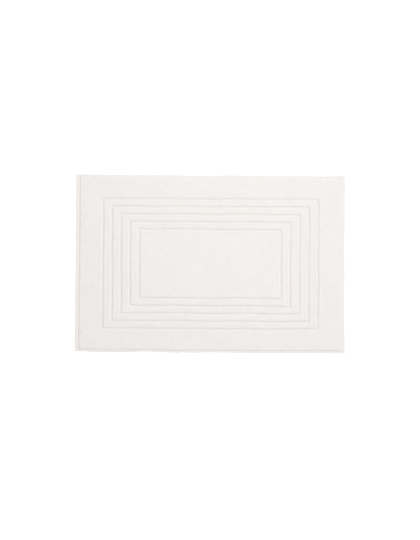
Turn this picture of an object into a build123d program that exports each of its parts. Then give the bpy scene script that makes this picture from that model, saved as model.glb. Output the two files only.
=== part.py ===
from build123d import *
import os

# Bath mat of jacquard terry cloth with five nested channels, lying flat.
#
# Millimetres. +Z is up, X runs along the mat and Y across it. The origin is on the surface that the mat
# lies on, under the middle of the mat. The mat is one flat-woven ground cloth. Loops stand on both its
# faces, and its four edges are turned in twice and sewn down with lockstitch, two threads to a seam. A
# ribbon label is caught in the seam of one end hem, and its free part folds down about its root.

# The whole mat
MAT_LENGTH = 900.0  # from fold to fold of the two end hems
MAT_WIDTH = 594.0  # from fold to fold of the two side hems

# The cloth
CLOTH = 1.0  # thickness of the ground cloth
FOLD_GAP = 0.1  # air between two layers of a turned hem
FACE_PILE = 3.4  # height of the loops on the face
SHOULDER = 1.4  # radius where a field of face loops falls away at its edges
BACK_SHOULDER = 0.8  # the same on the back, where the mat's weight flattens the loops
FIELD_CORNER = 2.5  # plan radius at the corners of a field of loops

# The hems
END_HEM = 13.0  # width of the hems at the two ends
SIDE_HEM = 8.5  # width of the hems along the two sides
HEM_CLEARANCE = 0.3  # between a hem's inner fold and the loops on the back
RAW_EDGE_SHORT = 1.0  # how far the turned-in raw edge stops short of the outer fold

# The channels, woven without loops on the face
CHANNEL_COUNT = 5
CHANNEL_WIDTH = 4.8
FIRST_CHANNEL_FROM_END = 90.6  # to the middle of the outermost channel
FIRST_CHANNEL_FROM_SIDE = 80.0
CHANNEL_PITCH_X = 30.6  # between neighbouring channels that run across the mat
CHANNEL_PITCH_Y = 25.5  # between neighbouring channels that run along it

# The seams
STITCH_INSET = 2.6  # from a hem's inner edge to the middle of its seam
THREAD_WIDTH = 0.5
THREAD_DEPTH = 0.35
THREAD_CORNER = 0.12
THREAD_CLEARANCE = 0.1  # each side of a thread in the furrow that it pulls
NEEDLE_FURROW = 0.3  # how deep the needle thread sinks into the hem's top
BOBBIN_FURROW = 0.4  # how deep the bobbin thread sinks into its underside
SEAM_END = 3.0  # how far a seam stops short of its hem's ends

# The label, a ribbon folded double
LABEL_WIDTH = 25.0  # along the seam
LABEL_REACH = 42.0  # from its root to its folded end
RIBBON = 0.4  # thickness of the two layers together
LABEL_FROM_MIDDLE = -176.0  # Y of its middle
LABEL_ROOT_INSET = 0.7  # from the end hem's inner edge to the line that it folds about
LABEL_ROOT_HEIGHT = 0.65  # height of that line over the floor
LABEL_CAUGHT = 5.0  # how far its sewn end reaches into the hem
LABEL_CLEARANCE = 0.25  # between the free part and what lies beside it
LABEL_SIDE_CLEARANCE = 0.5

# Heights, from the floor up. The loops on the back are as deep as two turned layers of hem.
BACK_PILE = 2 * (CLOTH + FOLD_GAP)
GROUND_TOP = BACK_PILE + CLOTH
FOLD_MIDDLE = GROUND_TOP / 2

# The ground cloth and the fields of loops lie inside the hems.
CLOTH_LENGTH = MAT_LENGTH - 2 * END_HEM
CLOTH_WIDTH = MAT_WIDTH - 2 * SIDE_HEM

# Each edge: its name, its turn about Z, and its outer fold's distance, length and hem width
EDGES = (
    ("right_end", 0, MAT_LENGTH / 2, MAT_WIDTH, END_HEM),
    ("back_side", 90, MAT_WIDTH / 2, CLOTH_LENGTH, SIDE_HEM),
    ("left_end", 180, MAT_LENGTH / 2, MAT_WIDTH, END_HEM),
    ("front_side", 270, MAT_WIDTH / 2, CLOTH_LENGTH, SIDE_HEM),
)
LABEL_EDGE = "right_end"


def channel(number):
    """Length and width of the rectangle down the middle of a channel, counted from the outermost, 0."""
    length = MAT_LENGTH - 2 * (FIRST_CHANNEL_FROM_END + number * CHANNEL_PITCH_X)
    width = MAT_WIDTH - 2 * (FIRST_CHANNEL_FROM_SIDE + number * CHANNEL_PITCH_Y)
    return length, width


def make_ground():
    """The flat-woven cloth that carries the loops, seen at the bottom of the channels."""
    return Pos(0, 0, BACK_PILE) * Box(
        CLOTH_LENGTH, CLOTH_WIDTH, CLOTH, align=(Align.CENTER, Align.CENTER, Align.MIN)
    )


def make_face_field(outer, hole=None):
    """A field of face loops with rounded shoulders: a ring, or a full rectangle when it has no hole."""
    outline = RectangleRounded(*outer, FIELD_CORNER)
    if hole:
        outline -= RectangleRounded(*hole, FIELD_CORNER)
    field = extrude(Pos(0, 0, GROUND_TOP) * outline, FACE_PILE)
    return fillet(field.faces().sort_by(Axis.Z)[-1].edges(), SHOULDER)


def make_face_fields():
    """The face loops from the border in to the centre, each field between two channels."""
    names = ["border_pile", *(f"rib_{n}_pile" for n in range(1, CHANNEL_COUNT)), "centre_pile"]
    fields, outer = {}, (CLOTH_LENGTH, CLOTH_WIDTH)
    for number, name in enumerate(names[:-1]):
        middle = channel(number)
        fields[name] = make_face_field(outer, [size + CHANNEL_WIDTH for size in middle])
        outer = [size - CHANNEL_WIDTH for size in middle]
    fields[names[-1]] = make_face_field(outer)
    return fields


def label_block(inner, outer, low, high, spare=0.0):
    """A block as wide as the label, from inner to outer, both measured outwards from the hem's inner edge."""
    return Pos(CLOTH_LENGTH / 2 + inner, LABEL_FROM_MIDDLE, low) * Box(
        outer - inner,
        LABEL_WIDTH + 2 * spare,
        high - low,
        align=(Align.MIN, Align.CENTER, Align.MIN),
    )


def make_back_pile():
    """The loops on the back, pressed flat under the label and parted where it comes out of the seam."""
    outline = RectangleRounded(CLOTH_LENGTH, CLOTH_WIDTH, FIELD_CORNER)
    pile = extrude(outline, BACK_PILE)
    pile = fillet(pile.faces().sort_by(Axis.Z)[0].edges(), BACK_SHOULDER)
    drop = -LABEL_ROOT_INSET - RIBBON / 2 - LABEL_CLEARANCE
    pressed_to = LABEL_ROOT_HEIGHT + RIBBON / 2 + LABEL_CLEARANCE
    far_end = -LABEL_ROOT_INSET - LABEL_REACH - LABEL_SIDE_CLEARANCE
    pile -= label_block(far_end, 0, 0, pressed_to, LABEL_SIDE_CLEARANCE)
    return pile - label_block(drop, 0, 0, BACK_PILE, LABEL_SIDE_CLEARANCE)


def half_ring(inner, outer, turn=0):
    """Half of a flat ring about the origin, on its +X side before the turn."""
    half = Pos(outer, 0) * Rectangle(2 * outer, 2 * outer)
    return Rot(0, 0, turn) * ((Circle(outer) - Circle(inner)) & half)


def layer(start, end, low):
    """One flat layer of cloth in a hem's section."""
    return Pos(start, low) * Rectangle(end - start, CLOTH, align=(Align.MIN, Align.MIN))


def hem_section(width):
    """The cloth's edge turned in twice: top layer, outer fold, bottom layer, inner fold, hidden layer."""
    outer_fold = width - FOLD_MIDDLE
    inner_radius = CLOTH + FOLD_GAP / 2
    inner_fold = HEM_CLEARANCE + inner_radius
    return (
        layer(0, outer_fold, BACK_PILE)
        + Pos(outer_fold, FOLD_MIDDLE) * half_ring(FOLD_MIDDLE - CLOTH, FOLD_MIDDLE)
        + layer(inner_fold, outer_fold, 0)
        + Pos(inner_fold, inner_radius) * half_ring(FOLD_GAP / 2, inner_radius, 180)
        + layer(inner_fold, outer_fold - RAW_EDGE_SHORT, CLOTH + FOLD_GAP)
    )


def make_hem(width, length):
    """A hem along Y whose inner edge is at X 0, with the furrows that its two threads pull."""
    hem = extrude(Plane.XZ * hem_section(width), length / 2, both=True)
    furrow_width = THREAD_WIDTH + 2 * THREAD_CLEARANCE
    needle = Pos(STITCH_INSET, 0, GROUND_TOP) * Box(furrow_width, length, 2 * NEEDLE_FURROW)
    bobbin = Pos(STITCH_INSET, 0, 0) * Box(furrow_width, length, 2 * BOBBIN_FURROW)
    return hem - needle - bobbin


def make_thread(length, low):
    """One thread of a seam, drawn as a bar that lies the length of its furrow."""
    outline = RectangleRounded(THREAD_WIDTH, THREAD_DEPTH, THREAD_CORNER)
    section = Plane.XZ * Pos(STITCH_INSET, low + THREAD_DEPTH / 2) * outline
    return extrude(section, length / 2 - SEAM_END, both=True)


def make_edges():
    """Each edge's hem with its needle thread on top and its bobbin thread underneath."""
    pieces = {}
    for name, turn, reach, length, width in EDGES:
        place = Rot(0, 0, turn) * Pos(reach - width, 0, 0)
        hem = place * make_hem(width, length)
        if name == LABEL_EDGE:
            caught_from = BACK_PILE - RIBBON - FOLD_GAP
            hem -= label_block(
                0, LABEL_CAUGHT + FOLD_GAP, caught_from, BACK_PILE, LABEL_SIDE_CLEARANCE
            )
        pieces[f"{name}_hem"] = hem
        pieces[f"{name}_needle_thread"] = place * make_thread(length, GROUND_TOP - NEEDLE_FURROW)
        pieces[f"{name}_bobbin_thread"] = place * make_thread(length, BOBBIN_FURROW - THREAD_DEPTH)
    return pieces


def make_label():
    """The label's sewn end, which drops out of the hem, and its free part, which lies under the mat."""
    drop_outer, drop_inner = -LABEL_ROOT_INSET + RIBBON / 2, -LABEL_ROOT_INSET - RIBBON / 2
    drop_foot = LABEL_ROOT_HEIGHT + RIBBON / 2 + LABEL_CLEARANCE
    caught = label_block(drop_inner, LABEL_CAUGHT, BACK_PILE - RIBBON, BACK_PILE)
    drop = label_block(drop_inner, drop_outer, drop_foot, BACK_PILE)

    flat = label_block(
        -LABEL_ROOT_INSET - LABEL_REACH,
        -LABEL_ROOT_INSET,
        LABEL_ROOT_HEIGHT - RIBBON / 2,
        LABEL_ROOT_HEIGHT + RIBBON / 2,
    )
    root = Pos(CLOTH_LENGTH / 2 - LABEL_ROOT_INSET, LABEL_FROM_MIDDLE, LABEL_ROOT_HEIGHT)
    roll = root * Rot(90, 0, 0) * Cylinder(RIBBON / 2, LABEL_WIDTH)
    return {"label_sewn_end": caught + drop, "label_flap": flat + roll}


def main():
    pieces = {
        "ground_cloth": make_ground(),
        "back_pile": make_back_pile(),
        **make_face_fields(),
        **make_edges(),
        **make_label(),
    }
    os.makedirs("parts", exist_ok=True)
    for name, piece in pieces.items():
        export_step(piece, f"parts/{name}.step")


main()
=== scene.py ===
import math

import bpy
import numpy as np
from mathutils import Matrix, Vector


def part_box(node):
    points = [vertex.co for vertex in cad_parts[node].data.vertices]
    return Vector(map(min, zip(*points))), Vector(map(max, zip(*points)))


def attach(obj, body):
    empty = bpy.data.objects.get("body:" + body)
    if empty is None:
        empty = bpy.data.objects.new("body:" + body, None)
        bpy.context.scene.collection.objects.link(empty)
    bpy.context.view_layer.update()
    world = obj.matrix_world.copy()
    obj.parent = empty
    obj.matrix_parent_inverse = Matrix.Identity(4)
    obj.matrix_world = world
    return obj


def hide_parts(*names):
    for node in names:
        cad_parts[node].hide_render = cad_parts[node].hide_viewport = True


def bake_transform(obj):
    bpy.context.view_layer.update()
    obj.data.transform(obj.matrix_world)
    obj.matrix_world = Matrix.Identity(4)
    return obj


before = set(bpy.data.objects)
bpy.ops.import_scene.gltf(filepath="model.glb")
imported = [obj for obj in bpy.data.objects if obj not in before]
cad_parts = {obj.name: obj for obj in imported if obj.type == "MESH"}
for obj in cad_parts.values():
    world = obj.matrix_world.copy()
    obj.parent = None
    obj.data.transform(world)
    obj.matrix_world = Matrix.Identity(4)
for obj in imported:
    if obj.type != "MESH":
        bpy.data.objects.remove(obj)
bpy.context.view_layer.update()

# A white terry bath mat, lying flat. Every piece is built from arrays of points in millimetres, laid by
# the same gentle creep of the cloth, and turned into metres as its mesh is made. A field of loops is a
# grid with one loop on every second line of each second row, so that each loop has a crown and a hollow
# round it. The cloth, channels, hems, threads and label are rings of points, each joined to the next.

MM = 0.001

# The cloth, as in the CAD
CHANNEL_WIDTH = 4.8
CHANNEL_COUNT = 5
CLOTH = 1.0
HEM_HEIGHT = 3.2
FOLD_RADIUS = 1.1  # of the middle of the cloth, round a hem's outer fold
INNER_RADIUS = 0.55  # and round its inner fold
INNER_FOLD = 1.35  # from a hem's inner edge to the middle of its inner fold
RAW_EDGE = 2.6  # from a hem's outer fold to the raw edge inside it
STITCH_INSET = 2.6  # from a hem's inner edge to its seam
CORNER_RADIUS = 3.2  # in plan, at the mat's four corners
GROUND_STEP = 6.0  # between the points of the cloth under the loops

# The loops
LOOP_STEP = 1.1  # half the distance between neighbouring loops on the face
BACK_STEP = 1.5  # and on the back
FACE_RELIEF, BACK_RELIEF = 1.0, 0.45
FACE_SPARE, BACK_SPARE = 0.15, 0.1  # how far a field's mean height stays short of the CAD's
CROWN, BESIDE, BETWEEN = (0.05, 0.3), (-0.3, -0.1), (-0.42, -0.2)  # heights, as shares of the relief
CLUMPS = ((5.5, 0.07), (15, 0.04), (60, 0.06))  # wavelength and height of the unevenness of all loops
LOOP_WANDER = 0.16  # as a share of the step
LOOP_BULGE = 0.42  # how far a loop may lean out of its field's side
EDGE_ROWS = (0.0, 0.14, 0.5, 1.05)  # extra rows of points up a field's side
WALL, WALL_SHARE = 1.5, 0.3  # width of a side's steep foot, and its share of the height
SHOULDER, SHOULDER_POWER = 4.2, 1.7  # width and steepness of the soft slope over it
LOOP_ACROSS, LOOP_CROWN = 0.0021, 0.0009  # metres, for the loops' yarn in the material

# The hems and seams
SEAM_SINK, SEAM_SPREAD = 0.22, 0.9  # depth and width of the hollow that a seam pulls in its hem
BOBBIN_FURROW, BOBBIN_SPREAD = 0.36, 0.5  # and underneath
HEM_CROWN = 0.16
HEM_WANDER = ((31, 0.16), (9, 0.09))  # wavelength and size of the wander of a hem's outer fold
STITCH = 3.2
THREAD_RADIUS = 0.24
RINGS_PER_STITCH = 8
THREAD_AROUND = 8  # points round a thread
STITCH_SLANT, STITCH_WANDER = 0.09, 0.03
NEEDLE_HOLE = 0.4  # how far along the seam a stitch begins to dive
NEEDLE_RISE, NEEDLE_DIVE = 0.11, 0.45  # from the hem's upper face, up and then down into the hole
BOBBIN_RISE, BOBBIN_DIVE = 0.26, 0.3  # from the floor, and then up into the hole
PLY_DEPTH, PLY_TWIST = 0.13, 2.2  # share of the radius, and half turns to a stitch

# The woven floor of a channel
RIB_PITCH = 1.7
RIB_HEIGHT = 0.13
WEAVE_STEP = 0.55
WEAVE_ACROSS = 11  # points from side to side, an odd number
WEAVE_TUCK = 0.3  # how far it reaches under the loops
WEAVE_RISE, WEAVE_DEPTH = 0.03, 0.08  # over the cloth, and the thickness of its edge

# The label: a ribbon folded double, its layers apart by RIBBON_GAP from middle to middle
RIBBON = 0.16
RIBBON_GAP = 0.2
RIBBON_WIDTH = 25.0
LABEL_CAUGHT = 5.0
LABEL_REACH = 42.0
LABEL_ROOT = (-0.7, 0.65)  # from the end hem's inner edge, and up
LABEL_LEVEL = 2.0  # height of its sewn end
LABEL_BEND = 0.35
LABEL_ACROSS = 27  # points from edge to edge
SELVEDGE, SELVEDGE_HALF = 11.2, 0.8  # middle and half width of the thicker band along each edge
LABEL_LIMP = 0.06  # size of the waves in its free part
PRESSED, PARTED = 0.62, 0.36  # what the loops lose under the label, and more where it passes them

# The creep of the cloth. It dies away round the label, whose hinge stays where the CAD has it.
LABEL_AT = (436.3, -176.0)
CALM_RADIUS = 40.0
WANDER = ((190, 0.55), (46, 0.22))  # wavelength and size, in plan
LIFT = ((120, 0.26), (34, 0.12))  # and off the floor
CORNER_PULL = (2.2, 0.9)  # of the corner at +X and -Y
MIDDLE_DRIFT = (-1.2, -1.5)

# The picture
FLOOR_GLOW = 0.22
FLOOR_REACH = 20.0  # metres
FLOOR_DROP = 0.0002  # metres, clear of the mat's underside
VIEW_HEIGHT = 2.0071  # height of the picture, in lengths of the mat
VIEW_PLACE, VIEW_ROLL = (-0.0007, -0.0204), 0.42  # metres, and degrees
LENS, SENSOR = 85.0, 36.0


def box_mm(node):
    """Lowest and highest corner of a CAD node, in millimetres."""
    return [np.array(corner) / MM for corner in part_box(node)]


def half_size(node):
    return box_mm(node)[1][:2]


GROUND_LOW, GROUND_HIGH = box_mm("ground_cloth")
FACE_TOP = box_mm("centre_pile")[1][2]
MAT_HALF = np.array([box_mm("right_end_hem")[1][0], box_mm("back_side_hem")[1][1]])


# ---------------------------------------------------------------- noise and creep


def ripple(x, y, wavelength, seed, waves=12):
    """Smooth noise of about that wavelength, from waves in all directions. Its deviation is 1."""
    rng = np.random.default_rng(seed)
    angles = rng.uniform(0, math.tau, waves)
    rates = math.tau / (wavelength * rng.uniform(0.7, 1.5, waves))
    phases = rng.uniform(0, math.tau, waves)
    total = np.zeros(np.broadcast(x, y).shape)
    for angle, rate, phase in zip(angles, rates, phases):
        total += np.cos(rate * (math.cos(angle) * x + math.sin(angle) * y) + phase)
    return total * math.sqrt(2 / waves)


def ripples(x, y, waves, seed):
    """A sum of ripples, one for each wavelength and size."""
    return sum(size * ripple(x, y, length, seed + n) for n, (length, size) in enumerate(waves))


def smooth(value, low, high):
    t = np.clip((value - low) / (high - low), 0, 1)
    return t * t * (3 - 2 * t)


def lie(points):
    """Points of the mat as drawn flat, moved to where the cloth lies: pulled, crept and a little lifted."""
    x, y, z = points.T
    near = np.hypot(x - LABEL_AT[0], y - LABEL_AT[1])
    free = 1 - np.exp(-((near / CALM_RADIUS) ** 2))
    half_x, half_y = MAT_HALF
    corner = smooth(x, 0.5 * half_x, half_x) * smooth(-y, -0.2 * half_y, half_y)
    middle = 1 - smooth(abs(x), 0.7 * half_x, half_x)
    middle = middle * (1 - smooth(abs(y), 0.6 * half_y, half_y))
    dx = ripples(x, y, WANDER, 1) + CORNER_PULL[0] * corner + MIDDLE_DRIFT[0] * middle
    dy = ripples(x, y, WANDER, 3) + CORNER_PULL[1] * corner + MIDDLE_DRIFT[1] * middle
    lift = sum(size for length, size in LIFT) + ripples(x, y, LIFT, 5)
    return np.stack([x + dx * free, y + dy * free, z + np.maximum(lift, 0) * free], axis=1)


# ---------------------------------------------------------------- meshes


def make_piece(name, points, quads, slot, node=None, ngons=(), values=None, chart=None, rides=True):
    """A mesh object that rides on the mat and stands for CAD nodes. The n-gons are its closing faces."""
    mesh = bpy.data.meshes.new(name)
    corners = np.concatenate([quads.ravel(), *ngons]).astype(np.int32)
    sizes = np.array([4] * len(quads) + [len(n) for n in ngons])
    starts = np.concatenate([[0], np.cumsum(sizes)[:-1]]).astype(np.int32)
    mesh.vertices.add(len(points))
    mesh.vertices.foreach_set("co", (points * MM).astype(np.float32).ravel())
    mesh.loops.add(len(corners))
    mesh.loops.foreach_set("vertex_index", corners)
    mesh.polygons.add(len(sizes))
    mesh.polygons.foreach_set("loop_start", starts)
    mesh.polygons.foreach_set("use_smooth", np.arange(len(sizes)) < len(quads))
    for key, value in (values or {}).items():
        mesh.attributes.new(key, "FLOAT", "POINT").data.foreach_set("value", value.astype(np.float32))
    flat_map(mesh, points[corners, :2] if chart is None else chart, 4 * len(quads))
    mesh.update(calc_edges=True)
    mesh.materials.append(MATERIALS[slot])
    piece = bpy.data.objects.new(name, mesh)
    bpy.context.scene.collection.objects.link(piece)
    if rides:
        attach(piece, "mat")
    if node:
        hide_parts(*([node] if isinstance(node, str) else node))
    return piece


def flat_map(mesh, places, shown):
    """A texture map from a place for each face corner. The closing faces go into its far corner."""
    flat = places - places.min(0)
    flat = flat * (0.97 / flat.max(0))
    flat[shown:] = 0.98 + 0.02 * flat[shown:]
    mesh.uv_layers.new(name="OFBake").uv.foreach_set("vector", flat.astype(np.float32).ravel())


def grid_lines(limit, hole, step):
    """Places of the grid's lines: close beside the outline and the hole, and a step apart elsewhere."""
    fine = np.array(EDGE_ROWS)
    fixed = [fine - limit, limit - fine]
    if hole:
        fixed += [-hole - fine, hole + fine]
    fixed = np.unique(np.concatenate(fixed).round(4))
    out = [fixed[:1]]
    for a, b in zip(fixed[:-1], fixed[1:]):
        count = max(1, round((b - a) / step))
        out.append(np.linspace(a, b, count + 1)[1:])
    return np.concatenate(out)


def rise(distance):
    """Height of a field at that distance from its outline, from 0 to 1: a low wall, then a soft slope."""
    wall = 1 - np.clip(distance / WALL, 0, 1)
    slope = 1 - np.clip(distance / SHOULDER, 0, 1)
    return WALL_SHARE * np.sqrt(1 - wall**2) + (1 - WALL_SHARE) * (1 - slope**SHOULDER_POWER)


def room(lines, step):
    """How far each line is from its nearer neighbour, as a share of the step."""
    gaps = np.diff(lines)
    return np.minimum(np.concatenate([[gaps[0]], gaps]), np.concatenate([gaps, [gaps[-1]]])) / step


class Field:
    """A grid over a rectangle, with or without a rectangular hole, and its outline's faces."""

    def __init__(self, half, hole, step, seed):
        self.half, self.hole, self.rng = half, hole, np.random.default_rng(seed)
        xs = grid_lines(half[0], hole and hole[0], step)
        ys = grid_lines(half[1], hole and hole[1], step)
        self.x, self.y = np.meshgrid(xs, ys)
        self.room = np.clip(np.minimum.outer(room(ys, step), room(xs, step)), 0, 1)
        self.row, self.column = np.indices(self.x.shape)
        self.index = np.arange(self.x.size).reshape(self.x.shape)
        middle_x, middle_y = (xs[:-1] + xs[1:]) / 2, (ys[:-1] + ys[1:]) / 2
        self.kept = np.ones((len(ys) - 1, len(xs) - 1), bool)
        if hole:
            self.kept = ~np.logical_and.outer(abs(middle_y) < hole[1], abs(middle_x) < hole[0])
            self.cols = [int(np.argmin(abs(xs - side * hole[0]))) for side in (-1, 1)]
            self.rows = [int(np.argmin(abs(ys - side * hole[1]))) for side in (-1, 1)]

    def rise(self):
        """Height of the field everywhere, from 0 on its outline to 1 within."""
        height = rise(self.half[0] - abs(self.x)) * rise(self.half[1] - abs(self.y))
        if self.hole:
            qx, qy = abs(self.x) - self.hole[0], abs(self.y) - self.hole[1]
            beside = np.where((qx > 0) & (qy > 0), np.hypot(qx, qy), np.maximum(qx, qy))
            height = height * rise(np.maximum(beside, 0))
        return height

    def outwards(self):
        """Unit steps out of the field beside its outline and its hole, and 0 elsewhere."""
        reach = EDGE_ROWS[-1] + 0.01
        out = [
            np.sign(p) * (half - abs(p) < reach)
            for p, half in ((self.x, self.half[0]), (self.y, self.half[1]))
        ]
        if self.hole:
            qx, qy = abs(self.x) - self.hole[0], abs(self.y) - self.hole[1]
            out[0] = out[0] - np.sign(self.x) * ((qx > -0.01) & (qx < reach) & (qy < 0.01))
            out[1] = out[1] - np.sign(self.y) * ((qy > -0.01) & (qy < reach) & (qx < 0.01))
        return out

    def quads(self, down=False):
        """The grid's faces. Each is cut between its first and third points into two triangles."""
        n = self.index
        four = [n[:-1, :-1], n[:-1, 1:], n[1:, 1:], n[1:, :-1]]
        faces = np.stack([c[self.kept] for c in four], axis=1)

        # At these two corners of the field, that cut could lie on one in the closing face.
        turned = np.isin(faces, [n[0, -1], n[-1, 0]]).any(axis=1)
        faces[turned] = np.roll(faces[turned], 1, axis=1)
        return faces[:, ::-1] if down else faces

    def closing(self, down=False):
        """The flat faces that close the field where it stands on the cloth."""
        n = self.index
        if self.hole:
            (a, b), (c, d) = self.cols, self.rows
            loops = [
                (n[0, :], n[c, a : b + 1][::-1]),
                (n[:, -1], n[c : d + 1, b][::-1]),
                (n[-1, ::-1], n[d, a : b + 1]),
                (n[::-1, 0], n[c : d + 1, a]),
            ]
        else:
            loops = [(n[0, :-1], n[:-1, -1], n[-1, :0:-1], n[:0:-1, 0])]
        faces = [np.concatenate(parts) for parts in loops]
        return faces if down else [f[::-1] for f in faces]


def compact(points, quads, ngons, values):
    """Leaves out the points that no face uses."""
    used, quads_new = np.unique(quads, return_inverse=True)
    number = np.full(len(points), -1)
    number[used] = np.arange(len(used))
    ngons = [number[n] for n in ngons]
    return points[used], quads_new.reshape(quads.shape), ngons, {k: v[used] for k, v in values.items()}


def loops_on(field, relief):
    """Height of the loops over their field, and how far each point is down between them, from 0 to 1, which
    sets the painted shade between the loops.
    """
    rng, shape = field.rng, field.x.shape
    loop_row = field.row % 2 == 0
    crown = loop_row & ((field.column + field.row // 2) % 2 == 0)
    height = np.where(crown, rng.uniform(*CROWN, shape), rng.uniform(*BETWEEN, shape))
    height = np.where(loop_row & ~crown, rng.uniform(*BESIDE, shape), height)
    # How far a point lies down between the loops: the material paints shade there.
    hollow = np.clip(0.25 - 1.4 * height, 0, 1)
    return relief * height * field.room + ripples(field.x, field.y, CLUMPS, 21), hollow


def pile(name, half, hole, stands_on, reach, step, relief, seed, node, shape=None):
    """A field of loops. It stands on the cloth at height stands_on and reaches up, or down, by reach."""
    field = Field(half, hole, step, seed)
    height, hollow = loops_on(field, relief)
    up = field.rise()
    if shape is not None:
        up = up * shape(field.x, field.y)
    side = np.sign(reach)
    z = stands_on + reach * up + side * height * smooth(up, 0.1, 0.9)

    # No loop stands quite in line. Those at the side bulge out of the field.
    rng = field.rng
    wander = LOOP_WANDER * step * (up > 0) * field.room
    x = field.x + wander * rng.normal(size=z.shape).clip(-1.5, 1.5)
    y = field.y + wander * rng.normal(size=z.shape).clip(-1.5, 1.5)
    bulge = (up > 0) * rng.uniform(0.0, LOOP_BULGE, x.shape) * (1 - smooth(up, 0.9, 1.0))
    out_x, out_y = field.outwards()
    x, y = x + out_x * bulge, y + out_y * bulge

    down = reach < 0
    points = lie(np.stack([a.ravel() for a in (x, y, z)], axis=1))
    points[:, 2] = np.maximum(points[:, 2], 0)
    faces = field.quads(down), field.closing(down)
    points, quads, ngons, values = compact(points, *faces, {"hollow": hollow.ravel()})
    return make_piece(name, points, quads, "terry_pile", node, ngons, values)


def sweep(name, rings, slot, node=None, closed=False, **settings):
    """A solid through rings of points, an array of ring by point by 3, with flat ends unless it is closed."""
    count, around = rings.shape[:2]
    ring = np.arange(count if closed else count - 1)[:, None]
    point = np.arange(around)[None, :]
    steps = [(0, 0), (0, 1), (1, 1), (1, 0)]
    quads = np.stack([(ring + i) % count * around + (point + j) % around for i, j in steps], axis=2)
    ring, point = np.broadcast_arrays(ring, point)
    chart = np.stack([np.stack([point + j, ring + i], axis=2) for i, j in steps], axis=2)
    ends = [] if closed else [np.arange(around)[::-1], np.arange(around) + (count - 1) * around]
    chart = [chart.reshape(-1, 2), *(rings.reshape(-1, 3)[n][:, [1, 0]] * MM for n in ends)]
    points = lie(rings.reshape(-1, 3))
    points[:, 2] = np.maximum(points[:, 2], 0)
    return make_piece(
        name, points, quads.reshape(-1, 4), slot, node, ends, chart=np.concatenate(chart), **settings
    )


# ---------------------------------------------------------------- materials


def node_of(tree, kind, inputs=(), **settings):
    """A shader node, with its settings and its inputs: values, or sockets to link from."""
    node = tree.nodes.new(kind)
    for key, value in settings.items():
        setattr(node, key, value)
    for key, value in dict(inputs).items():
        if isinstance(value, bpy.types.NodeSocket):
            tree.links.new(value, node.inputs[key])
        else:
            node.inputs[key].default_value = value
    return node


def ramp(tree, factor, stops):
    """A colour ramp from (place, colour) stops."""
    node = node_of(tree, "ShaderNodeValToRGB", {"Fac": factor})
    band = node.color_ramp.elements
    while len(band) < len(stops):
        band.new(0.5)
    for element, (place, colour) in zip(band, stops):
        element.position, element.color = place, (*colour, 1)
    return node.outputs["Color"]


def cloth_material(name, roughness, sheen, paint):
    """A matt textile. paint(tree, place) returns its colour and its bump height, in metres."""
    material = bpy.data.materials.new(name)
    material.use_nodes = True
    tree = material.node_tree
    shader = tree.nodes["Principled BSDF"]
    place = node_of(tree, "ShaderNodeTexCoord").outputs["Object"]
    colour, height = paint(tree, place)
    bump = node_of(tree, "ShaderNodeBump", {"Strength": 1.0, "Distance": 1.0, "Height": height})
    tree.links.new(colour, shader.inputs["Base Color"])
    tree.links.new(bump.outputs["Normal"], shader.inputs["Normal"])
    shader.inputs["Roughness"].default_value = roughness
    shader.inputs["Specular IOR Level"].default_value = 0.25
    shader.inputs["Sheen Weight"].default_value = sheen
    shader.inputs["Sheen Roughness"].default_value = 0.5
    return material


def noise_of(tree, place, wavelength, detail=2.0):
    """Noise of about that wavelength in metres, from 0 to 1."""
    inputs = {"Vector": place, "Scale": 1 / wavelength, "Detail": detail}
    return node_of(tree, "ShaderNodeTexNoise", inputs).outputs["Fac"]


def math_of(tree, operation, a, b):
    return node_of(tree, "ShaderNodeMath", {0: a, 1: b}, operation=operation).outputs[0]


def paint_terry(tree, place):
    """Loops of soft two-ply cotton: a crown to each, painted shade, warm and dark, between them, and faint
    cloudy patches.
    """
    hollow = node_of(tree, "ShaderNodeAttribute", attribute_name="hollow").outputs["Fac"]
    bent = node_of(tree, "ShaderNodeTexNoise", {"Vector": place, "Scale": 1 / 0.004, "Detail": 1.0})
    push = node_of(
        tree,
        "ShaderNodeVectorMath",
        {0: bent.outputs["Color"], "Scale": 0.0011},
        operation="SCALE",
    ).outputs[0]
    moved = node_of(tree, "ShaderNodeVectorMath", {0: place, 1: push}, operation="ADD").outputs[0]
    loops = node_of(
        tree,
        "ShaderNodeTexVoronoi",
        {"Vector": moved, "Scale": 1 / LOOP_ACROSS, "Smoothness": 0.35},
        feature="SMOOTH_F1",
    ).outputs["Distance"]
    gap = math_of(tree, "MULTIPLY", loops, loops)
    patches = noise_of(tree, place, 0.035)
    fibres = noise_of(tree, place, 0.0005, 4.0)
    # Painted shade: darker down between the loops and away from each crown. The cloudy patches are the
    # cotton's own tone.
    shade_and_tone = math_of(tree, "MULTIPLY_ADD", hollow, 0.3)
    between = math_of(tree, "MULTIPLY_ADD", gap, 0.6)
    tree.links.new(math_of(tree, "MULTIPLY", patches, 0.3), between.node.inputs[2])
    tree.links.new(between, shade_and_tone.node.inputs[2])
    colour = ramp(tree, shade_and_tone, [(0.15, TERRY_LIGHT), (0.8, TERRY_SHADE_AND_PATCHES)])
    crowns = math_of(tree, "MULTIPLY", gap, -LOOP_CROWN)
    height = math_of(tree, "ADD", crowns, math_of(tree, "MULTIPLY", fibres, 0.00012))
    return colour, height


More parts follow.
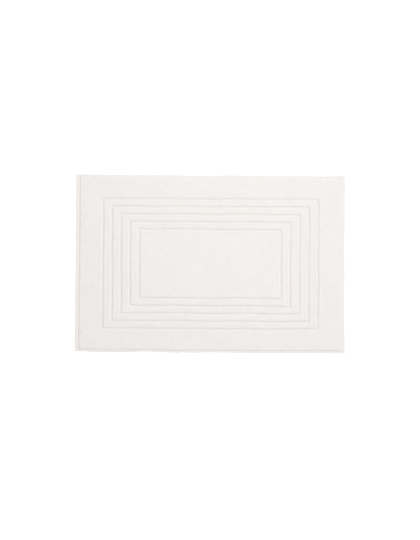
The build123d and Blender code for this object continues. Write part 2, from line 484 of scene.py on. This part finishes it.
def paint_weave(tree, place):
    """Flat plain weave: rows of warp and weft, each yarn passing over and under the next, with painted shade
    where it dips under, and faint cloudy patches.
    """
    waves = [
        node_of(
            tree,
            "ShaderNodeTexWave",
            {"Vector": place, "Scale": math.tau / 20 / 0.0011, "Distortion": 0.6, "Detail": 1.0},
            bands_direction=direction,
        ).outputs["Fac"]
        for direction in ("X", "Y")
    ]
    crossing = math_of(tree, "MULTIPLY", *waves)
    patches = noise_of(tree, place, 0.03)
    # Painted shade: darker where the yarns dip. The cloudy patches are the cloth's own tone.
    tone = math_of(tree, "MULTIPLY", crossing, 0.5)
    tone = math_of(tree, "ADD", tone, math_of(tree, "MULTIPLY", patches, 0.35))
    colour = ramp(tree, tone, [(0.1, WEAVE_SHADE_AND_PATCHES), (0.7, WEAVE_LIGHT)])
    fibres = noise_of(tree, place, 0.0006, 3.0)
    height = math_of(tree, "MULTIPLY", math_of(tree, "ADD", crossing, fibres), 0.00012)
    return colour, height


def paint_thread(tree, place):
    """Spun thread: plies that wind round it show as fine slanting bands, with painted shade in the grooves
    between them.
    """
    plies = node_of(
        tree,
        "ShaderNodeTexWave",
        {"Vector": place, "Scale": math.tau / 20 / 0.0005, "Distortion": 0.3},
        bands_direction="DIAGONAL",
    ).outputs["Fac"]
    # Painted shade: darker in the grooves between the plies, where the bump dips.
    colour = ramp(tree, plies, [(0.0, THREAD_SHADED), (0.8, THREAD_LIGHT)])
    return colour, math_of(tree, "MULTIPLY", plies, 0.00005)


def paint_satin(tree, place):
    """Satin ribbon: long floats along it, too fine to see one by one, with painted shade between them. Its
    woven edges are in the label's shape, not in this colour.
    """
    floats = node_of(
        tree,
        "ShaderNodeTexWave",
        {"Vector": place, "Scale": math.tau / 20 / 0.0004, "Distortion": 0.2},
        bands_direction="Y",
    ).outputs["Fac"]
    # Painted shade: darker between the floats, where the bump dips.
    colour = ramp(tree, floats, [(0.0, SATIN_SHADED), (1.0, SATIN_LIGHT)])
    return colour, math_of(tree, "MULTIPLY", floats, 0.00002)


# The light colour of each cloth, and a darker one for the painted shade in its hollows and dips. On the terry
# and the weave, their cloudy patches also darken toward it.
TERRY_LIGHT, TERRY_SHADE_AND_PATCHES = (0.870, 0.844, 0.830), (0.81, 0.771, 0.742)
WEAVE_LIGHT, WEAVE_SHADE_AND_PATCHES = (0.855, 0.83, 0.815), (0.79, 0.755, 0.73)
THREAD_LIGHT, THREAD_SHADED = (0.95, 0.925, 0.90), (0.78, 0.75, 0.72)
SATIN_LIGHT, SATIN_SHADED = (0.92, 0.92, 0.92), (0.80, 0.80, 0.80)
MATERIALS = {
    "terry_pile": cloth_material("terry_pile", 0.95, 0.25, paint_terry),
    "ground_weave": cloth_material("ground_weave", 0.9, 0.15, paint_weave),
    "hem_cloth": cloth_material("hem_cloth", 0.9, 0.15, paint_weave),
    "sewing_thread": cloth_material("sewing_thread", 0.6, 0.1, paint_thread),
    "label_satin": cloth_material("label_satin", 0.38, 0.0, paint_satin),
}


# ---------------------------------------------------------------- the cloth and its loops

FIELDS = ["border_pile", *(f"rib_{n}_pile" for n in range(1, CHANNEL_COUNT)), "centre_pile"]


def make_ground():
    """The cloth that the loops are woven into, as one thin slab inside the hems."""
    low, high = GROUND_LOW, GROUND_HIGH
    xs, ys = (np.linspace(low[n], high[n], round((high[n] - low[n]) / GROUND_STEP) + 1) for n in (0, 1))
    x = np.concatenate([xs, xs[::-1]])
    z = np.repeat([GROUND_HIGH[2], GROUND_LOW[2]], len(xs))
    rings = np.stack(np.broadcast_arrays(x, ys[:, None], z), axis=2)
    return sweep("ground_cloth_sheet", rings, "ground_weave", "ground_cloth")


def make_fields():
    """The loops on the face, one piece for each field between two channels."""
    reach = FACE_TOP - GROUND_HIGH[2] - FACE_SPARE
    pieces = []
    for number, name in enumerate(FIELDS):
        inner = FIELDS[number + 1 : number + 2]
        hole = tuple(half_size(inner[0]) + CHANNEL_WIDTH) if inner else None
        field = half_size(name), hole, GROUND_HIGH[2], reach, LOOP_STEP, FACE_RELIEF, 50 + number
        pieces.append(pile(f"{name}_loops", *field, name))
    return pieces


def make_channel(number):
    """The floor of a channel: a flat band of the ground's weave all round, with its ribs and crossings."""
    half = half_size(FIELDS[number + 1]) + CHANNEL_WIDTH / 2
    across = np.linspace(-1, 1, WEAVE_ACROSS) * (CHANNEL_WIDTH / 2 + WEAVE_TUCK)
    turns = np.array([(1, -1), (1, 1), (-1, 1), (-1, -1), (1, -1)])
    corners = turns[:, None] * (half + across[:, None])
    sides = []
    centre = WEAVE_ACROSS // 2
    for start, end in zip(corners[:-1], corners[1:]):
        count = round(abs(end - start)[centre].max() / WEAVE_STEP)
        along = np.arange(count)[:, None, None] / count
        sides.append(start + along * (end - start))
    x, y = np.concatenate(sides).transpose(2, 0, 1)
    ribs = 0.5 + 0.5 * np.cos(math.tau * x / RIB_PITCH) * np.cos(math.tau * y / RIB_PITCH)
    z = GROUND_HIGH[2] + WEAVE_RISE + RIB_HEIGHT * (ribs + 0.15 * ripple(x, y, 2.3, 60 + number))
    z[:, [0, -1]] = GROUND_HIGH[2] - WEAVE_RISE
    top = np.stack([x, y, z], axis=2)
    under = top[:, [-1, 0]] - [0, 0, WEAVE_DEPTH]
    rings = np.concatenate([top, under], axis=1)
    return sweep(f"channel_{number + 1}_weave", rings, "ground_weave", closed=True)


def label_pocket(x, y):
    """How much of their height the loops on the back keep: less where the label presses and passes them."""
    beside = 1 - smooth(abs(y - LABEL_AT[1]), RIBBON_WIDTH / 2 + 0.2, RIBBON_WIDTH / 2 + 2.4)
    under = smooth(x, LABEL_AT[0] - LABEL_REACH - 2.6, LABEL_AT[0] - LABEL_REACH - 0.3)
    root = smooth(x, LABEL_AT[0] - 2.2, LABEL_AT[0] - 0.5)
    return 1 - beside * (PRESSED * under + PARTED * root)


def make_back():
    """The loops on the back, pressed flatter by the mat's weight."""
    reach = BACK_SPARE - GROUND_LOW[2]
    field = GROUND_HIGH[:2], None, GROUND_LOW[2], reach, BACK_STEP, BACK_RELIEF, 49
    return pile("back_pile_loops", *field, "back_pile", label_pocket)


# ---------------------------------------------------------------- hems, seams and label


class Edge:
    """One edge of the mat: u runs outwards from its hem's inner edge and s along it, before its turn."""

    def __init__(self, name, turn):
        self.name, self.turn, self.seed = name, math.radians(turn), 70 + turn
        low, high = box_mm(f"{name}_hem")
        across = 0 if turn % 180 == 0 else 1
        self.at_end = across == 0
        self.width, self.length = (high - low)[across], (high - low)[1 - across]
        self.inner = MAT_HALF[across] - self.width
        self.stitches = round(self.length / STITCH)
        self.stitch = self.length / self.stitches

    def place(self, u, s, z):
        """Points of the mat, from their u, s and z."""
        u, s, z = np.broadcast_arrays(u, s, z)
        across, along = round(math.cos(self.turn)), round(math.sin(self.turn))
        x = self.inner + u
        return np.stack([across * x - along * s, along * x + across * s, z], axis=-1)

    def rows(self):
        """Three rows of points to a stitch, and more beside the hem's ends."""
        even = np.linspace(-self.length / 2, self.length / 2, 3 * self.stitches + 1)
        close = self.length / 2 - np.array([0.15, 0.5])
        return np.unique(np.concatenate([even, close, -close]))

    def top(self, u, s):
        """How far the hem's upper face stands over its flat height: sunk at the seam, roped beyond it."""
        stitch = np.cos(math.tau * (s + self.length / 2) / self.stitch)
        seam = -SEAM_SINK * np.exp(-(((u - STITCH_INSET) / SEAM_SPREAD) ** 2)) * (1 - 0.3 * stitch)
        crown = smooth(u, STITCH_INSET, STITCH_INSET + 2.4)
        crown = crown * (1 - smooth(u, self.width - HEM_HEIGHT, self.width))
        ropes = 0.13 * ripple(s + 0.8 * u, 0.3 * u, 14, self.seed)
        ropes += 0.07 * ripple(s - 0.4 * u, 0.5 * u, 5.5, self.seed + 1)
        beside = 0.4 + 0.6 * crown
        free = smooth(u, 0, 1.5)
        if not self.at_end:
            free = free * smooth(self.length / 2 - abs(s), 0, 3)
        return free * (seam + HEM_CROWN * crown + ropes * beside)

    def stand(self, u, s, z):
        """The hem's height at a point that would be at z in a flat hem. Its underside rises at the seam."""
        share = z / HEM_HEIGHT
        furrow = BOBBIN_FURROW * np.exp(-(((u - STITCH_INSET) / BOBBIN_SPREAD) ** 2))
        return z + share * self.top(u, s) + (1 - share) * furrow

    def pull(self, u, s):
        """Where a point lies across the hem, whose fold wanders and is rounded at the mat's corners."""
        wander = ripples(s, 0 * s, HEM_WANDER, self.seed + 2)
        calm = 1 if self.at_end else smooth(self.length / 2 - abs(s), 0, 6)
        cut = 0.0
        if self.at_end:
            short = np.clip(CORNER_RADIUS - self.length / 2 + abs(s), 0, CORNER_RADIUS)
            cut = CORNER_RADIUS - np.sqrt(CORNER_RADIUS**2 - short**2)
        return u + wander * calm * smooth(u, 0, self.width) - cut * smooth(u, self.width - 6, self.width)


EDGES = [
    Edge(name, turn)
    for name, turn in (("right_end", 0), ("back_side", 90), ("left_end", 180), ("front_side", 270))
]


def arc(centre, radius, start, end, count):
    """Points on an arc, in degrees, after its start and up to its end."""
    angle = np.radians(np.linspace(start, end, count + 1)[1:])
    return np.stack([centre[0] + radius * np.cos(angle), centre[1] + radius * np.sin(angle)], axis=1)


def line(start, end, step):
    """Points on a straight run, after its start and up to its end."""
    start, end = np.array(start), np.array(end)
    count = max(1, round(np.hypot(*(end - start)) / step))
    return start + (end - start) * np.arange(1, count + 1)[:, None] / count


def left_of(path):
    """Unit steps to the left of a path of points in a plane."""
    along = np.gradient(path, axis=0)
    along /= np.hypot(*along.T)[:, None]
    return np.stack([-along[:, 1], along[:, 0]], axis=1)


def hem_section(width):
    """The cloth's outline in a hem, from its inner edge round both folds to its raw edge, and back."""
    top, bottom, middle = HEM_HEIGHT - CLOTH / 2, CLOTH / 2, HEM_HEIGHT / 2
    hidden = bottom + 2 * INNER_RADIUS
    outer, near_seam = width - HEM_HEIGHT / 2, STITCH_INSET + 1.8
    path = [
        np.array([(0, top)]),
        line((0, top), (near_seam, top), 0.6),
        line((near_seam, top), (outer, top), 1.3),
        arc((outer, middle), FOLD_RADIUS, 90, -90, 8),
        line((outer, bottom), (near_seam, bottom), 2.0),
        line((near_seam, bottom), (INNER_FOLD, bottom), 0.6),
        arc((INNER_FOLD, bottom + INNER_RADIUS), INNER_RADIUS, -90, -270, 6),
        line((INNER_FOLD, hidden), (width - RAW_EDGE, hidden), 2.5),
    ]
    path = np.concatenate(path)
    step = left_of(path) * CLOTH / 2
    return np.concatenate([path + step, (path - step)[::-1]])


def make_hem(edge):
    """A hem: the cloth's edge turned in twice and sewn down, pressed thin under the label's sewn end."""
    u, z = hem_section(edge.width).T
    s = edge.rows()[:, None]
    u, z, s = np.broadcast_arrays(u, z, s)
    if edge.name == "right_end":
        beside = 1 - smooth(abs(s - LABEL_AT[1]), RIBBON_WIDTH / 2 + 0.3, RIBBON_WIDTH / 2 + 3)
        pressed = 0.17 * beside * (1 - smooth(u, LABEL_CAUGHT + 0.3, LABEL_CAUGHT + 3))
        z = np.where(z < HEM_HEIGHT - CLOTH - 0.05, z * (1 - pressed), z)
    rings = edge.place(edge.pull(u, s), s, edge.stand(u, s, z))
    return sweep(f"{edge.name}_hem_folds", rings, "hem_cloth", f"{edge.name}_hem")


def make_thread(edge, upper):
    """One of a seam's two threads, which lies along the cloth and dives into each needle hole."""
    count = edge.stitches - 2
    turns = np.linspace(0, count, RINGS_PER_STITCH * count + 1)
    s = turns * edge.stitch + edge.stitch - edge.length / 2
    past = turns % 1
    dive = np.exp(-((np.minimum(past, 1 - past) * edge.stitch / NEEDLE_HOLE) ** 2))
    rng = np.random.default_rng(edge.seed + 10 * upper)
    aside = rng.normal(size=count + 1)[turns.astype(int)]
    u = STITCH_INSET + (STITCH_SLANT * (2 * past - 1) + STITCH_WANDER * aside) * (1 - dive)
    if upper:
        z = HEM_HEIGHT + edge.top(u, s) + NEEDLE_RISE - NEEDLE_DIVE * dive
    else:
        z = BOBBIN_RISE + BOBBIN_DIVE * dive
    angle = -math.tau * np.arange(THREAD_AROUND) / THREAD_AROUND
    plies = 1 + PLY_DEPTH * np.cos(2 * (angle - turns[:, None] * PLY_TWIST * math.pi))
    radius = THREAD_RADIUS * (1 - 0.4 * dive)[:, None] * plies
    kind = "needle" if upper else "bobbin"
    u = u[:, None] + radius * np.cos(angle)
    z = z[:, None] + 0.85 * radius * np.sin(angle)
    rings = edge.place(u, s[:, None], z)
    node = f"{edge.name}_{kind}_thread"
    return sweep(f"{node}_stitches", rings, "sewing_thread", node)


def label_path():
    """The middle between the label's two layers: out of the seam, down at its root and in under the mat."""
    (root, low), bend = LABEL_ROOT, LABEL_BEND
    return np.concatenate(
        [
            np.array([(LABEL_CAUGHT, LABEL_LEVEL)]),
            line((LABEL_CAUGHT, LABEL_LEVEL), (root + bend, LABEL_LEVEL), 0.7),
            arc((root + bend, LABEL_LEVEL - bend), bend, 90, 180, 5),
            line((root, LABEL_LEVEL - bend), (root, low + bend), 0.2),
            arc((root - bend, low + bend), bend, 0, -90, 5),
            line((root - bend, low), (root - LABEL_REACH, low), 1.0),
        ]
    )


def make_label(edge):
    """A blank satin ribbon, folded double, and its length."""
    middle = label_path()
    step = left_of(middle) * RIBBON_GAP / 2
    path = [middle - step, arc(middle[-1], RIBBON_GAP / 2, 90, 270, 6)[:-1], (middle + step)[::-1]]
    path = np.concatenate(path)
    out = left_of(path)[:, None]
    y = np.linspace(RIBBON_WIDTH / 2, -RIBBON_WIDTH / 2, LABEL_ACROSS)
    thin = abs(y) > RIBBON_WIDTH / 2 - 0.1
    thick = abs(abs(y) - SELVEDGE) < SELVEDGE_HALF
    half = RIBBON / 2 * (1 - 0.6 * thin + 0.15 * thick)
    y, half = np.concatenate([y, y[::-1]]), np.concatenate([half, -half[::-1]])
    u, z = (path[:, None] + out * half[:, None]).transpose(2, 0, 1)
    s = y + LABEL_AT[1] + 0 * u
    limp = smooth(LABEL_ROOT[0] - u, 2, 14)
    z = z + limp * LABEL_LIMP * ripple(u, s, 19, 90)
    rings = edge.place(u, s, z + (u > 0) * (z / HEM_HEIGHT) * edge.top(u, s))
    piece = sweep("care_label", rings, "label_satin", ["label_sewn_end", "label_flap"], rides=False)
    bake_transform(piece)
    return piece, 2 * np.hypot(*np.diff(middle, axis=0).T).sum()


ground = make_ground()
laid = [*make_fields(), *(make_channel(number) for number in range(CHANNEL_COUNT)), make_back()]
for edge in EDGES:
    laid += [make_hem(edge), make_thread(edge, True), make_thread(edge, False)]
label, ribbon_length = make_label(EDGES[0])


# ---------------------------------------------------------------- stage, lights and camera


def make_stage():
    """A white floor, lit a little from below as on a product table, so that it stays white beside the mat."""
    mesh = bpy.data.meshes.new("floor")
    corners = [(x * FLOOR_REACH, y * FLOOR_REACH, 0) for x, y in ((-1, -1), (1, -1), (1, 1), (-1, 1))]
    mesh.from_pydata(corners, [], [(0, 1, 2, 3)])
    floor = bpy.data.objects.new("floor", mesh)
    bpy.context.scene.collection.objects.link(floor)
    floor.location.z = -FLOOR_DROP
    material = bpy.data.materials.new("floor")
    material.use_nodes = True
    shader = material.node_tree.nodes["Principled BSDF"]
    shader.inputs["Base Color"].default_value = (0.95, 0.95, 0.95, 1)
    shader.inputs["Roughness"].default_value = 0.9
    shader.inputs["Emission Color"].default_value = (1, 1, 1, 1)
    shader.inputs["Emission Strength"].default_value = FLOOR_GLOW
    mesh.materials.append(material)


def make_lamp(name, place, size, power):
    """A round soft lamp that shines on the middle of the mat."""
    lamp = bpy.data.lights.new(name, "AREA")
    lamp.shape, lamp.size, lamp.energy = "DISK", size, power
    holder = bpy.data.objects.new(name, lamp)
    holder.location = place
    holder.rotation_euler = (-holder.location.copy()).to_track_quat("-Z", "Y").to_euler()
    bpy.context.scene.collection.objects.link(holder)


def make_lights():
    """A soft white room, brighter at the horizon, with a far lamp and two near ones."""
    world = bpy.data.worlds.new("studio")
    world.use_nodes = True
    tree = world.node_tree
    sky = node_of(tree, "ShaderNodeTexCoord").outputs["Generated"]
    up = node_of(tree, "ShaderNodeSeparateXYZ", {0: sky}).outputs["Z"]
    glow = ramp(tree, up, [(0.0, (1.05, 1.05, 1.05)), (0.3, (0.725, 0.725, 0.725))])
    tree.links.new(glow, tree.nodes["Background"].inputs["Color"])
    bpy.context.scene.world = world
    make_lamp("key", (6.7, 2.5, 9.3), 2.5, 346.0)
    make_lamp("back", (0.2, 1.6, 1.8), 1.2, 7.4)
    make_lamp("top", (0.15, 0.1, 1.3), 0.8, 2.1)


def make_camera():
    """Straight over the mat, rolled a little, so far off that its sides hardly converge."""
    height = VIEW_HEIGHT * 2 * MAT_HALF[0] * MM / SENSOR * LENS
    data = bpy.data.cameras.new("camera")
    data.lens, data.sensor_width = LENS, SENSOR
    data.clip_end = 100
    camera = bpy.data.objects.new("camera", data)
    bpy.context.scene.collection.objects.link(camera)
    camera.location = (*VIEW_PLACE, height)
    camera.rotation_euler = (0, 0, math.radians(VIEW_ROLL))
    bpy.context.scene.camera = camera


make_stage()
make_lights()
make_camera()
bpy.context.scene.view_settings.view_transform = "Standard"
